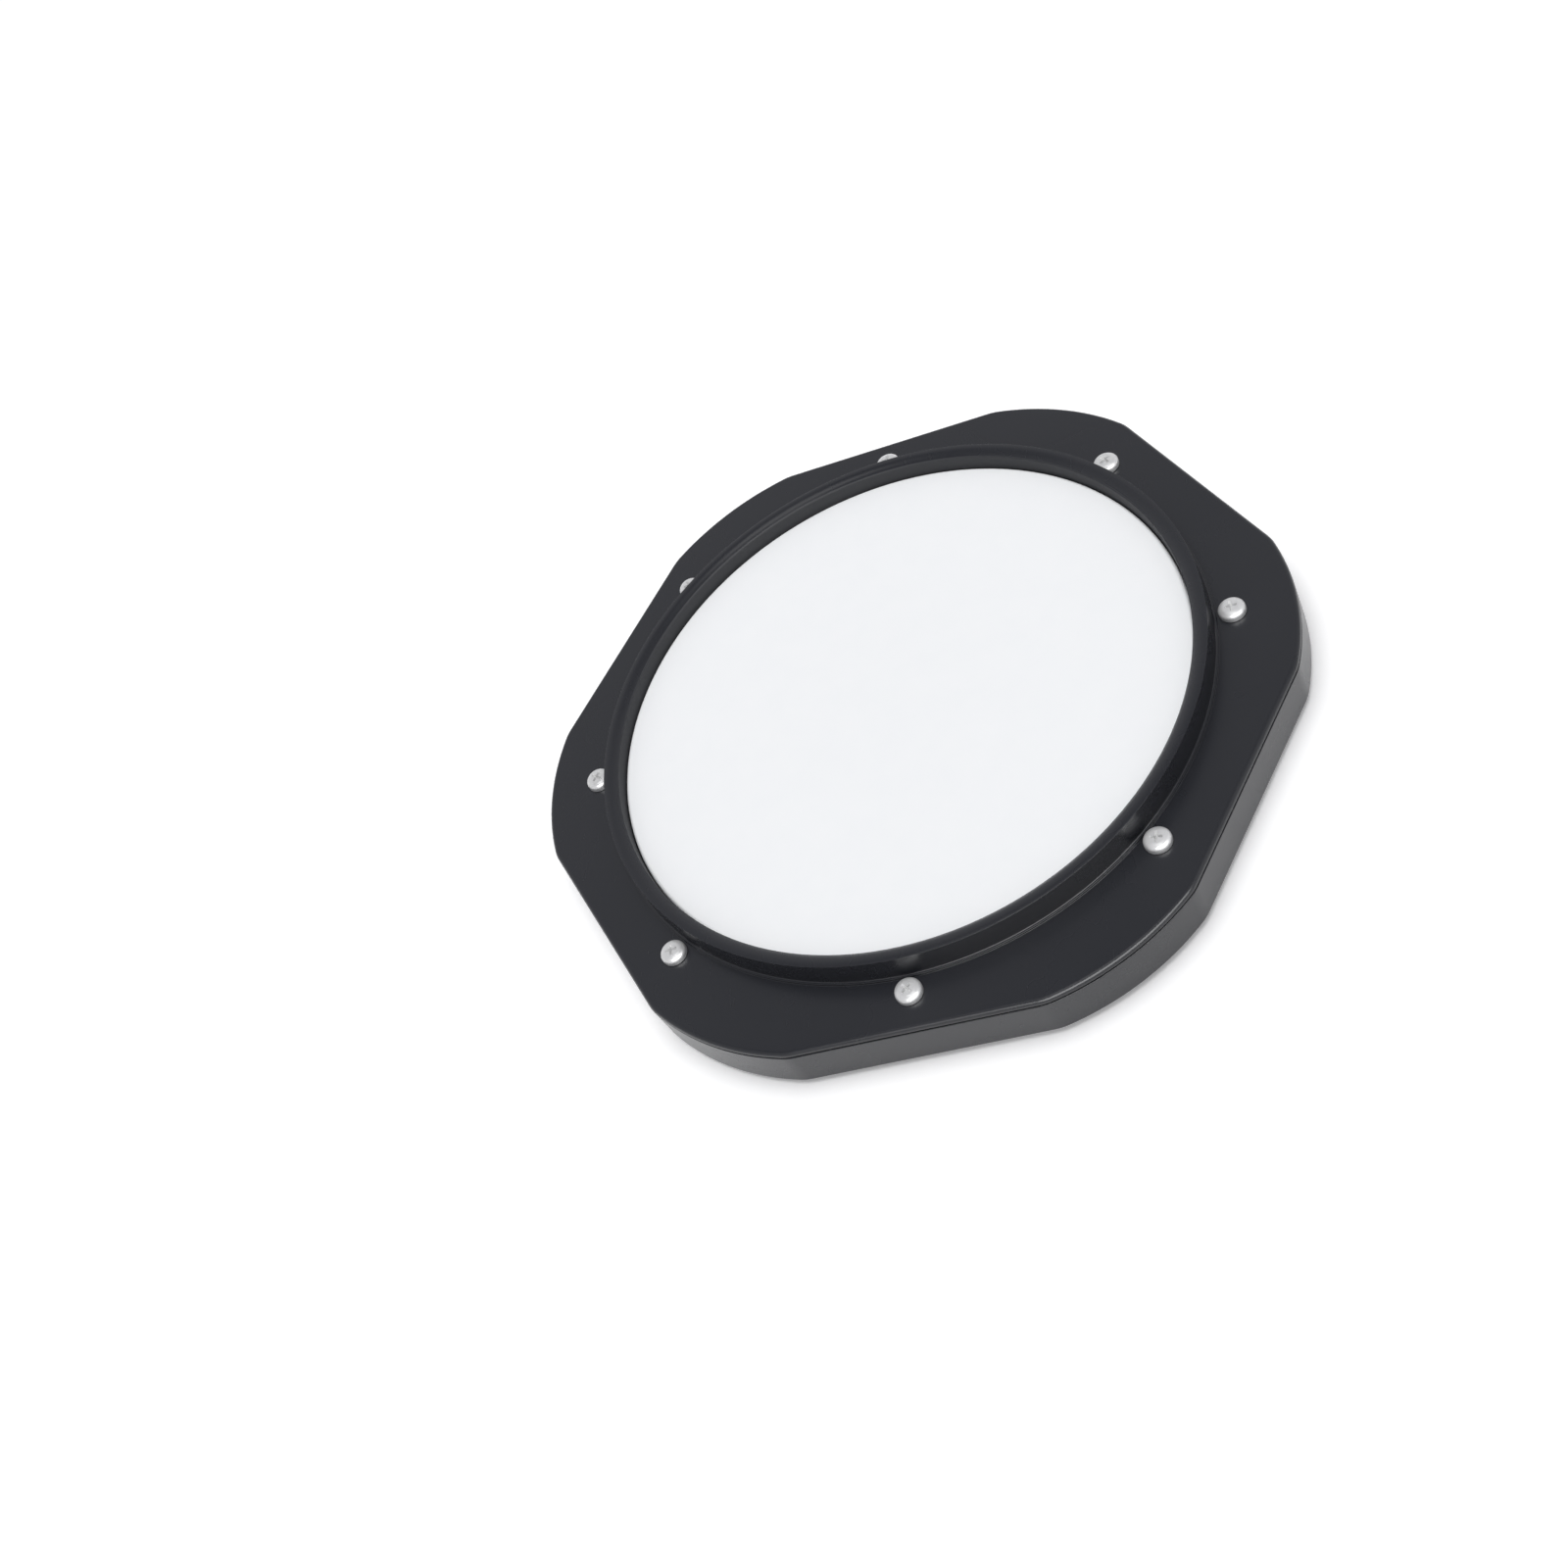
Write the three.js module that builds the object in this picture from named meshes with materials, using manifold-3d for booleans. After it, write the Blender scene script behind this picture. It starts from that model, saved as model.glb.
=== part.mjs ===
// A ten-inch tunable practice pad. A coated film head is stretched over the circular bearing edge of
// a six-lobed moulded base, with a foam core under it. A moulded rim pushes the head's hoop down, and
// eight screws through the rim into captive nuts set the tension.
//
// Millimetres, +Z up. Z = 0 is the plane of the feet's soles and the Z axis is the head's centre line.
// +X runs through the tip of a lobe, and +Y through the middle of a straight side.

import * as THREE from 'three';
import { mergeVertices } from 'three/addons/utils/BufferGeometryUtils.js';
import Module from 'manifold-3d';

const wasm = await Module();
wasm.setup();

// Outline, seen from above
const LOBE_COUNT = 6;
const ACROSS_FLATS = 254;
const LOBE_TIP_RADIUS = 135;
const LOBE_ARC_RADIUS = 91.3;
const CORNER_RADIUS = 18;

// Heights
const BASE_BOTTOM = 2;
const FLOOR_TOP = 4.5;
const WALL_TOP = 17.4;
const FLANGE_BOTTOM = 18.2;
const FLANGE_TOP = 20;
const CREST_TOP = 29.8;
const HEAD_TOP = 23.4;

// Base
const WALL_THICKNESS = 2.8;
const BASE_EDGE_RADIUS = 1.2;
const BEARING_INNER_RADIUS = 98.8;
const BEARING_OUTER_RADIUS = 101.8;
const BEARING_EDGE_ROUND = 1.1;
const RIB_THICKNESS = 2;
const RIB_TOP = 11.5;

// Rim
const RIM_EDGE_RADIUS = 1.6;
const OPENING_RADIUS = 102.7;
const PRESSING_INNER_RADIUS = 103.6;
const PRESSING_OUTER_RADIUS = 105.4;
const RELIEF_TOP = 21.2;
const RING_WALL = 1.6;
const RING_TOP_RADIUS = 107.8;
const RING_FOOT_RADIUS = 108.3;
const CREST_RADIUS = 106.5;
const CREST_CURVE = 5.4;
const TERRACE_RADIUS = 109.1;
const TERRACE_TOP = 20.8;
const HOLLOW_TOP = 26;
const LIP_THICKNESS = 1.5;
const LIP_DEPTH = 4.6;

// Head
const FILM_THICKNESS = 0.3;
const SHOULDER_DROP = 1.4;
const SHOULDER_RADIUS = 100.9;
const COLLAR_TOP_RADIUS = 102.1;
const COLLAR_BEND = 20.6;
const COLLAR_FOOT_RADIUS = 103;
const COLLAR_FOOT = 14.2;
const HOOP_BOTTOM = 12.5;
const HOOP_TOP = 17.6;
const HOOP_INNER_RADIUS = 102.1;
const HOOP_OUTER_RADIUS = 106.2;
const SLOT_INNER_RADIUS = 102.7;
const SLOT_OUTER_RADIUS = 103.6;

// Screws and hex nuts, for a 5 mm thread
const SCREW_COUNT = 8;
const SCREW_CIRCLE_RADIUS = 114.5;
const HEAD_RADIUS = 4.5;
const HEAD_HEIGHT = 3.3;
const SHANK_RADIUS = 2.4;
const SCREW_LENGTH = 17.8;
const HEAD_SIDE = 1.5;
const THREAD_CHAMFER = 0.6;
const SEAT_GAP = 0.1;
// Each screw has stopped a little further round than the one before it.
const SCREW_TURN = 0.65;
const HOLE_RADIUS = 2.75;
const RECESS_WIDTH = 4.6;
const RECESS_DEPTH = 2;
const RECESS_BLADE = 1;
const BOSS_RADIUS = 6;
const BOSS_TOP = 16.7;
const HEX_SIDES = 6;
const NUT_ACROSS_FLATS = 8;
const NUT_HEIGHT = 4;
const NUT_CHAMFER = 0.6;
const POCKET_ACROSS_FLATS = 8.6;
const POCKET_TOP = 7.4;

// Feet
const FOOT_COUNT = 6;
const FOOT_CIRCLE_RADIUS = 99.7;
const FOOT_RADIUS = 7.5;
const FOOT_EDGE = 0.6;
const FOOT_RECESS_DEPTH = 1;

// Clearance between pieces that touch
const GAP = 0.3;

// How finely round shapes are divided
const ROUND_SEGMENTS = 60;
const SMALL_SEGMENTS = 16;
const LOBE_STEPS = 6;
const CORNER_STEPS = 2;
const EDGE_STEPS = 2;
const CURVE_STEPS = 2;

// The share of the circle that each lobe takes
const SECTOR = (2 * Math.PI) / LOBE_COUNT;

// How far pieces that are joined run into one another, and a size that is larger than the whole pad
const OVERLAP = 1;
const CUTTER = 400;

const blackPlastic = new THREE.MeshStandardMaterial({ color: 0x1c1d20, roughness: 0.34, metalness: 0 });
const coatedFilm = new THREE.MeshStandardMaterial({ color: 0xf3f4f5, roughness: 0.62, metalness: 0 });
const brightSteel = new THREE.MeshStandardMaterial({ color: 0xcfd1d2, roughness: 0.24, metalness: 1 });
const aluminium = new THREE.MeshStandardMaterial({ color: 0xb9bcbf, roughness: 0.4, metalness: 1 });
const darkFoam = new THREE.MeshStandardMaterial({ color: 0x2b2c2e, roughness: 0.95, metalness: 0 });
const blackRubber = new THREE.MeshStandardMaterial({ color: 0x151515, roughness: 0.85, metalness: 0 });

/** A closed three.js geometry as a solid that can be joined and cut. */
function solid(geometry) {
  const bare = geometry.clone();
  bare.deleteAttribute('normal');
  bare.deleteAttribute('uv');
  const merged = mergeVertices(bare);
  const corners = merged.index.array;
  const triangles = [];
  for (let i = 0; i < corners.length; i += 3) {
    const [a, b, c] = [corners[i], corners[i + 1], corners[i + 2]];
    if (a !== b && b !== c && c !== a) triangles.push(a, b, c);
  }
  return new wasm.Manifold(new wasm.Mesh({
    numProp: 3,
    vertProperties: merged.attributes.position.array,
    triVerts: new Uint32Array(triangles),
  }));
}

/** A solid as a three.js geometry, with flat shading. */
function geometryOf(body) {
  const mesh = body.getMesh();
  const geometry = new THREE.BufferGeometry();
  geometry.setAttribute('position', new THREE.BufferAttribute(new Float32Array(mesh.vertProperties), 3));
  geometry.setIndex(new THREE.BufferAttribute(new Uint32Array(mesh.triVerts), 1));
  geometry.computeVertexNormals();
  return geometry;
}

/** A round solid about the Z axis. Its path runs anticlockwise, with X as radius and Y as height. */
function turned(path, segments = ROUND_SEGMENTS) {
  return new THREE.LatheGeometry(path.getPoints(CURVE_STEPS), segments).rotateX(Math.PI / 2);
}

/** An upright cylinder, or a regular prism when it has few sides. */
function upright(radius, bottom, top, sides = SMALL_SEGMENTS) {
  const cylinder = new THREE.CylinderGeometry(radius, radius, top - bottom, sides);
  return cylinder.rotateX(Math.PI / 2).translate(0, 0, (top + bottom) / 2);
}

/** Moves a geometry out from the Z axis, and turns it about that axis. */
function around(geometry, radius, angle) {
  return geometry.translate(radius, 0, 0).rotateZ(angle);
}

/** The angles of a number of places spread evenly round the Z axis, from +X on. */
function evenAngles(count) {
  return Array.from({ length: count }, (_, i) => (i * 2 * Math.PI) / count);
}

/** The point at a distance from the Z axis, in the direction of an angle. */
function polar(radius, angle) {
  return new THREE.Vector2(radius * Math.cos(angle), radius * Math.sin(angle));
}

/** Points along an arc, with both of its ends. */
function arc(centre, radius, from, to, steps) {
  return Array.from({ length: steps + 1 }, (_, i) => {
    return polar(radius, from + ((to - from) * i) / steps).add(centre);
  });
}

/** The six-lobed outline, moved inwards by inset: straight sides, wide lobes, round corners between. */
function outline(inset) {
  const lobeDistance = LOBE_TIP_RADIUS - LOBE_ARC_RADIUS;
  const lobeAlong = lobeDistance * Math.cos(SECTOR / 2);
  const lobeAcross = lobeDistance * Math.sin(SECTOR / 2);
  const cornerAlong = ACROSS_FLATS / 2 - CORNER_RADIUS;
  const reach = cornerAlong - lobeAlong;
  const rise = Math.sqrt((LOBE_ARC_RADIUS - CORNER_RADIUS) ** 2 - reach ** 2);
  const cornerTurn = Math.atan2(rise, reach);
  const cornerDistance = Math.hypot(cornerAlong, lobeAcross + rise);
  const cornerAngle = Math.atan2(lobeAcross + rise, cornerAlong);
  const points = [];
  for (let lobe = 0; lobe < LOBE_COUNT; lobe++) {
    const side = (lobe - 0.5) * SECTOR;
    const next = side + SECTOR;
    const first = polar(cornerDistance, side + cornerAngle);
    const middle = polar(lobeDistance, lobe * SECTOR);
    const last = polar(cornerDistance, next - cornerAngle);
    const lobeStart = side + cornerTurn;
    const lobeEnd = next - cornerTurn;
    points.push(...arc(first, CORNER_RADIUS - inset, side, lobeStart, CORNER_STEPS));
    points.push(...arc(middle, LOBE_ARC_RADIUS - inset, lobeStart, lobeEnd, LOBE_STEPS).slice(1, -1));
    points.push(...arc(last, CORNER_RADIUS - inset, lobeEnd, next, CORNER_STEPS));
  }
  return new THREE.Shape(points);
}

/** The outline as an upright solid. */
function plate(inset, bottom, top) {
  const options = { depth: top - bottom, bevelEnabled: false };
  return solid(new THREE.ExtrudeGeometry(outline(inset), options).translate(0, 0, bottom));
}

/** The outline as an upright solid with both of its edges rounded. */
function roundedPlate(bottom, top, radius) {
  const options = {
    depth: top - bottom - 2 * radius,
    bevelThickness: radius,
    bevelSize: radius,
    bevelOffset: -radius,
    bevelSegments: EDGE_STEPS,
  };
  return solid(new THREE.ExtrudeGeometry(outline(0), options).translate(0, 0, bottom + radius));
}

/** Everything between two heights. */
function layer(bottom, top) {
  return solid(new THREE.BoxGeometry(CUTTER, CUTTER, top - bottom).translate(0, 0, (top + bottom) / 2));
}

/** The tray that everything sits in, with the bearing ring, and a rib and a boss for each screw. */
function baseShell() {
  const block = roundedPlate(BASE_BOTTOM, FLANGE_TOP, BASE_EDGE_RADIUS);
  const trimmed = block.intersect(layer(BASE_BOTTOM, WALL_TOP));
  const tray = trimmed.subtract(plate(WALL_THICKNESS, FLOOR_TOP, CREST_TOP));
  let shell = tray.add(bearingRing());
  for (const angle of evenAngles(SCREW_COUNT)) {
    shell = shell.add(rib(angle).intersect(trimmed)).add(boss(angle));
  }
  for (const angle of evenAngles(SCREW_COUNT)) {
    shell = shell.subtract(screwHole(angle)).subtract(nutPocket(angle));
  }
  for (const angle of evenAngles(FOOT_COUNT)) {
    shell = shell.subtract(footRecess(angle));
  }
  return geometryOf(shell);
}

/** A rib from the bearing ring to the wall, through one screw's boss. */
function rib(angle) {
  const length = LOBE_TIP_RADIUS - BEARING_OUTER_RADIUS + OVERLAP;
  const bottom = BASE_BOTTOM + OVERLAP;
  const bar = new THREE.BoxGeometry(length, RIB_THICKNESS, RIB_TOP - bottom);
  bar.translate(length / 2, 0, (RIB_TOP + bottom) / 2);
  return solid(around(bar, BEARING_OUTER_RADIUS - OVERLAP, angle));
}

/** The boss that one screw runs down into. */
function boss(angle) {
  return solid(around(upright(BOSS_RADIUS, FLOOR_TOP - OVERLAP, BOSS_TOP), SCREW_CIRCLE_RADIUS, angle));
}

/** The cutter for one screw's hole, through the base and the rim alike. */
function screwHole(angle) {
  return solid(around(upright(HOLE_RADIUS, 0, CREST_TOP), SCREW_CIRCLE_RADIUS, angle));
}

/** The cutter for the hexagonal pocket that holds one nut, open below. */
function nutPocket(angle) {
  const pocket = upright(hexCornerRadius(POCKET_ACROSS_FLATS), 0, POCKET_TOP, HEX_SIDES);
  return solid(around(pocket, SCREW_CIRCLE_RADIUS, angle));
}

/** The cutter for the shallow round recess over one foot. */
function footRecess(angle) {
  const recess = upright(FOOT_RADIUS + GAP, 0, BASE_BOTTOM + FOOT_RECESS_DEPTH);
  return solid(around(recess, FOOT_CIRCLE_RADIUS, angle));
}

/** The distance from the middle of a hexagon to its corners. */
function hexCornerRadius(acrossFlats) {
  return acrossFlats / 2 / Math.cos(Math.PI / HEX_SIDES);
}

/** The circular wall inside the base, whose rounded top carries the film. */
function bearingRing() {
  const top = HEAD_TOP - FILM_THICKNESS - GAP;
  const profile = new THREE.Path();
  profile.moveTo(BEARING_INNER_RADIUS, FLOOR_TOP - OVERLAP);
  profile.lineTo(BEARING_OUTER_RADIUS, FLOOR_TOP - OVERLAP);
  profile.lineTo(BEARING_OUTER_RADIUS, top - BEARING_EDGE_ROUND);
  profile.quadraticCurveTo(BEARING_OUTER_RADIUS, top, BEARING_OUTER_RADIUS - BEARING_EDGE_ROUND, top);
  profile.lineTo(BEARING_INNER_RADIUS, top);
  profile.lineTo(BEARING_INNER_RADIUS, FLOOR_TOP - OVERLAP);
  return solid(turned(profile));
}

/** The rim: a flange with a rounded edge, the raised ring, and a lip that locates it in the base. */
function topRim() {
  const block = roundedPlate(BASE_BOTTOM, FLANGE_TOP, RIM_EDGE_RADIUS);
  const flange = block.intersect(layer(FLANGE_BOTTOM, FLANGE_TOP));
  const lipInset = WALL_THICKNESS + GAP;
  const lipOuter = plate(lipInset, FLANGE_BOTTOM - LIP_DEPTH, FLANGE_BOTTOM + OVERLAP);
  const lipInner = plate(lipInset + LIP_THICKNESS, BASE_BOTTOM, FLANGE_TOP);
  const well = solid(upright(TERRACE_RADIUS - OVERLAP, 0, CREST_TOP, ROUND_SEGMENTS));
  let rim = flange.add(lipOuter.subtract(lipInner)).subtract(well).add(raisedRing());
  for (const angle of evenAngles(SCREW_COUNT)) {
    rim = rim.subtract(screwHole(angle));
  }
  return geometryOf(rim);
}

/** The raised ring: a wall that presses on the hoop, a domed crest, and a steep outside with a step. */
function raisedRing() {
  const pressingFace = HOOP_TOP + GAP;
  const hollowOuter = RING_FOOT_RADIUS - RING_WALL;
  const outerEnd = Math.acos((RING_TOP_RADIUS - CREST_RADIUS) / CREST_CURVE);
  const innerEnd = Math.acos((OPENING_RADIUS - CREST_RADIUS) / CREST_CURVE);
  const profile = new THREE.Path();
  profile.moveTo(PRESSING_INNER_RADIUS, pressingFace);
  profile.lineTo(PRESSING_OUTER_RADIUS, pressingFace);
  profile.lineTo(PRESSING_OUTER_RADIUS, HOLLOW_TOP);
  profile.lineTo(hollowOuter, HOLLOW_TOP);
  profile.lineTo(hollowOuter, FLANGE_BOTTOM);
  profile.lineTo(TERRACE_RADIUS, FLANGE_BOTTOM);
  profile.lineTo(TERRACE_RADIUS, TERRACE_TOP);
  profile.lineTo(RING_FOOT_RADIUS, TERRACE_TOP);
  profile.absarc(CREST_RADIUS, CREST_TOP - CREST_CURVE, CREST_CURVE, outerEnd, innerEnd, false);
  profile.lineTo(OPENING_RADIUS, RELIEF_TOP);
  profile.lineTo(PRESSING_INNER_RADIUS, pressingFace);
  return solid(turned(profile));
}

/** The film: a flat disc with a rounded shoulder, and a collar that runs down into the hoop's slot. */
function drumheadFilm() {
  const under = HEAD_TOP - FILM_THICKNESS;
  const shoulderDrop = HEAD_TOP - SHOULDER_DROP;
  const profile = new THREE.Path();
  profile.moveTo(0, under);
  profile.lineTo(SHOULDER_RADIUS, under);
  profile.quadraticCurveTo(COLLAR_TOP_RADIUS, under, COLLAR_TOP_RADIUS, shoulderDrop);
  profile.lineTo(COLLAR_TOP_RADIUS, COLLAR_BEND);
  profile.lineTo(COLLAR_FOOT_RADIUS, HOOP_TOP);
  profile.lineTo(COLLAR_FOOT_RADIUS, COLLAR_FOOT);
  profile.lineTo(COLLAR_FOOT_RADIUS + FILM_THICKNESS, COLLAR_FOOT);
  profile.lineTo(COLLAR_FOOT_RADIUS + FILM_THICKNESS, HOOP_TOP);
  profile.lineTo(COLLAR_TOP_RADIUS + FILM_THICKNESS, COLLAR_BEND);
  profile.lineTo(COLLAR_TOP_RADIUS + FILM_THICKNESS, shoulderDrop);
  profile.quadraticCurveTo(COLLAR_TOP_RADIUS + FILM_THICKNESS, HEAD_TOP, SHOULDER_RADIUS, HEAD_TOP);
  profile.lineTo(0, HEAD_TOP);
  return turned(profile);
}

/** The hoop: a channel, open at the top, that grips the film's edge. */
function fleshHoop() {
  const profile = new THREE.Path();
  profile.moveTo(HOOP_INNER_RADIUS, HOOP_BOTTOM);
  profile.lineTo(HOOP_OUTER_RADIUS, HOOP_BOTTOM);
  profile.lineTo(HOOP_OUTER_RADIUS, HOOP_TOP);
  profile.lineTo(SLOT_OUTER_RADIUS, HOOP_TOP);
  profile.lineTo(SLOT_OUTER_RADIUS, COLLAR_FOOT - GAP);
  profile.lineTo(SLOT_INNER_RADIUS, COLLAR_FOOT - GAP);
  profile.lineTo(SLOT_INNER_RADIUS, HOOP_TOP);
  profile.lineTo(HOOP_INNER_RADIUS, HOOP_TOP);
  profile.lineTo(HOOP_INNER_RADIUS, HOOP_BOTTOM);
  return turned(profile);
}

/** The soft disc that fills the space between the base's floor and the film. */
function foamCore() {
  const top = HEAD_TOP - FILM_THICKNESS - GAP;
  return upright(BEARING_INNER_RADIUS - GAP, FLOOR_TOP + GAP, top, ROUND_SEGMENTS);
}

/** A screw about its own axis, with Z = 0 at the seat under its head. */
function tensionScrew() {
  const profile = new THREE.Path();
  profile.moveTo(0, -SCREW_LENGTH);
  profile.lineTo(SHANK_RADIUS - THREAD_CHAMFER, -SCREW_LENGTH);
  profile.lineTo(SHANK_RADIUS, THREAD_CHAMFER - SCREW_LENGTH);
  profile.lineTo(SHANK_RADIUS, 0);
  profile.lineTo(HEAD_RADIUS, 0);
  profile.lineTo(HEAD_RADIUS, HEAD_SIDE);
  profile.quadraticCurveTo(HEAD_RADIUS, HEAD_HEIGHT, 0, HEAD_HEIGHT);
  let screw = solid(turned(profile, SMALL_SEGMENTS));
  for (const angle of [0, Math.PI / 2]) {
    const blade = new THREE.BoxGeometry(RECESS_WIDTH, RECESS_BLADE, 2 * RECESS_DEPTH);
    screw = screw.subtract(solid(blade.rotateZ(angle).translate(0, 0, HEAD_HEIGHT)));
  }
  return geometryOf(screw);
}

/** A hex nut about its own axis, with Z = 0 at its lower face. */
function captiveNut() {
  const cornerRadius = hexCornerRadius(NUT_ACROSS_FLATS);
  const profile = new THREE.Path();
  profile.moveTo(0, 0);
  profile.lineTo(cornerRadius - NUT_CHAMFER, 0);
  profile.lineTo(cornerRadius, NUT_CHAMFER / 2);
  profile.lineTo(cornerRadius, NUT_HEIGHT - NUT_CHAMFER / 2);
  profile.lineTo(cornerRadius - NUT_CHAMFER, NUT_HEIGHT);
  profile.lineTo(0, NUT_HEIGHT);
  const chamfered = solid(turned(profile, SMALL_SEGMENTS));
  const hexagon = solid(upright(cornerRadius, 0, NUT_HEIGHT, HEX_SIDES));
  const bore = solid(upright(SHANK_RADIUS + GAP, -OVERLAP, NUT_HEIGHT + OVERLAP));
  return geometryOf(chamfered.intersect(hexagon).subtract(bore));
}

/** A foot: a low rubber button with a bevelled sole, standing on Z = 0. */
function rubberFoot() {
  const top = BASE_BOTTOM + FOOT_RECESS_DEPTH - GAP;
  const profile = new THREE.Path();
  profile.moveTo(0, 0);
  profile.lineTo(FOOT_RADIUS - FOOT_EDGE, 0);
  profile.lineTo(FOOT_RADIUS, FOOT_EDGE);
  profile.lineTo(FOOT_RADIUS, top);
  profile.lineTo(0, top);
  return turned(profile, SMALL_SEGMENTS);
}

/** A named mesh at a height, at a distance from the Z axis in the direction of an angle. */
function piece(name, geometry, material, radius = 0, angle = 0, height = 0) {
  const mesh = new THREE.Mesh(geometry, material);
  mesh.name = name;
  mesh.position.set(radius * Math.cos(angle), radius * Math.sin(angle), height);
  mesh.rotation.z = angle;
  return mesh;
}

const practicePad = new THREE.Group();
practicePad.add(piece('base_shell', baseShell(), blackPlastic));
practicePad.add(piece('top_rim', topRim(), blackPlastic));
practicePad.add(piece('drumhead_film', drumheadFilm(), coatedFilm));
practicePad.add(piece('flesh_hoop', fleshHoop(), aluminium));
practicePad.add(piece('foam_core', foamCore(), darkFoam));

evenAngles(SCREW_COUNT).forEach((angle, i) => {
  const seat = FLANGE_TOP + SEAT_GAP;
  const nutBottom = POCKET_TOP - GAP - NUT_HEIGHT;
  const number = i + 1;
  const place = [SCREW_CIRCLE_RADIUS, angle];
  const screw = piece(`tension_screw_${number}`, tensionScrew(), brightSteel, ...place, seat);
  const nut = piece(`captive_nut_${number}`, captiveNut(), brightSteel, ...place, nutBottom);
  screw.rotation.z = i * SCREW_TURN;
  practicePad.add(screw, nut);
});

evenAngles(FOOT_COUNT).forEach((angle, i) => {
  practicePad.add(piece(`rubber_foot_${i + 1}`, rubberFoot(), blackRubber, FOOT_CIRCLE_RADIUS, angle));
});

export default practicePad;
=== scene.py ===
"""A ten-inch tunable practice pad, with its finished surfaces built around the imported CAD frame.

A six-lobed base carries a coated film head over a foam core. A rim with a raised ring presses on the
head's hoop, and eight screws pull it down into hex nuts held in the base. Lengths are in metres.
"""

from math import asin, atan2, ceil, cos, hypot, pi, radians, sin, sqrt, tan

import bmesh
import bpy
from mathutils import Matrix, Vector, noise


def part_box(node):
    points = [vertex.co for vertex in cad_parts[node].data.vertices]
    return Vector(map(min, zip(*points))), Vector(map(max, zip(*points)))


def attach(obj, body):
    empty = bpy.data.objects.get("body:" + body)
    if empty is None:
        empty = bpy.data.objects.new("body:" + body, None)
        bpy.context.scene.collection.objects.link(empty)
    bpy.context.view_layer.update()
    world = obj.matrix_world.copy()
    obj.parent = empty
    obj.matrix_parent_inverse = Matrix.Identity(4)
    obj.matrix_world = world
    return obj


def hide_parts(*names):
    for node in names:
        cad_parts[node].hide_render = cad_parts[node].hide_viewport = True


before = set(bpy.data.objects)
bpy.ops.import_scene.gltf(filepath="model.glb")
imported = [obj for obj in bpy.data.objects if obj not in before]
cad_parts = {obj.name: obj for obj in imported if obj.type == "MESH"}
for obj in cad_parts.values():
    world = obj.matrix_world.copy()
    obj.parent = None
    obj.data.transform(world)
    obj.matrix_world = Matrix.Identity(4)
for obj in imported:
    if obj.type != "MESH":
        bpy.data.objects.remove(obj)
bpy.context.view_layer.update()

MM = 0.001

# ---------------------------------------------------------------------------
# Sizes taken from the frame
# ---------------------------------------------------------------------------

RIM_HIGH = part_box("top_rim")[1]
BASE_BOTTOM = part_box("base_shell")[0].z
FILM_LOW, FILM_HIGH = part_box("drumhead_film")
HOOP_LOW, HOOP_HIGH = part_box("flesh_hoop")
FOAM_LOW, FOAM_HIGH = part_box("foam_core")
NUT_LOW, NUT_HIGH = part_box("captive_nut_1")
FOOT_LOW, FOOT_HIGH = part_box("rubber_foot_1")

LOBE_COUNT = 6
SECTOR = 2 * pi / LOBE_COUNT
LOBE_TIP = RIM_HIGH.x
FLAT_DISTANCE = RIM_HIGH.y
CREST_TOP = RIM_HIGH.z
HEAD_TOP = FILM_HIGH.z
SCREW_COUNT = sum(name.startswith("tension_screw_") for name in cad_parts)
FOOT_COUNT = sum(name.startswith("rubber_foot_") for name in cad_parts)
SCREW_CIRCLE = (NUT_LOW.x + NUT_HIGH.x) / 2
FOOT_CIRCLE = (FOOT_LOW.x + FOOT_HIGH.x) / 2

# ---------------------------------------------------------------------------
# Sizes that the frame's boxes don't give
# ---------------------------------------------------------------------------

# Outline and heights
LOBE_ARC = 91.3 * MM
CORNER = 18 * MM
FLOOR_TOP = 4.5 * MM
WALL_TOP = 17.4 * MM
FLANGE_BOTTOM = 18.2 * MM
FLANGE_TOP = 20 * MM
GAP = 0.3 * MM
# The strip along the outline that runs parallel to it
EDGE_STRIP = 6 * MM
# How far a cutter reaches past what it cuts, and how far a joined shape is sunk into its neighbour
OVERLAP = 1 * MM

# Base
WALL = 2.8 * MM
BEARING_INNER = 98.8 * MM
BEARING_OUTER = 101.8 * MM
BOSS_RADIUS = 6 * MM
BOSS_TOP = 16.7 * MM
RIB_THICKNESS = 2 * MM
RIB_TOP = 11.5 * MM
HOLE_RADIUS = 2.75 * MM
POCKET_ACROSS_FLATS = 8.6 * MM
POCKET_TOP = 7.4 * MM
FOOT_RECESS = 1 * MM

# Rim
RIM_EDGE = 1.6 * MM
OPENING = 102.7 * MM
PRESSING_INNER = 103.6 * MM
PRESSING_OUTER = 105.4 * MM
RELIEF_TOP = 21.2 * MM
HOLLOW_OUTER = 106.7 * MM
HOLLOW_TOP = 26 * MM
CREST_RADIUS = 106.5 * MM
CREST_CURVE = 5.4 * MM
RING_TOP = 107.8 * MM
RING_FOOT = 108.3 * MM
TERRACE = 109.1 * MM
TERRACE_TOP = 20.8 * MM
LIP_THICKNESS = 1.5 * MM
LIP_DEPTH = 4.6 * MM

# Head
FILM_THICKNESS = 0.3 * MM
COLLAR = 102.4 * MM
COLLAR_BEND = 20.6 * MM
SLOT_INNER = 102.7 * MM
SLOT_OUTER = 103.6 * MM
SLOT_FLOOR = 13.9 * MM
HOOP_WIDTH = 4.1 * MM

# Screws and nuts
HEAD_RADIUS = 4.5 * MM
HEAD_HEIGHT = 3.3 * MM
SCREW_SEAT = 20.1 * MM
SCREW_LENGTH = 17.8 * MM
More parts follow.
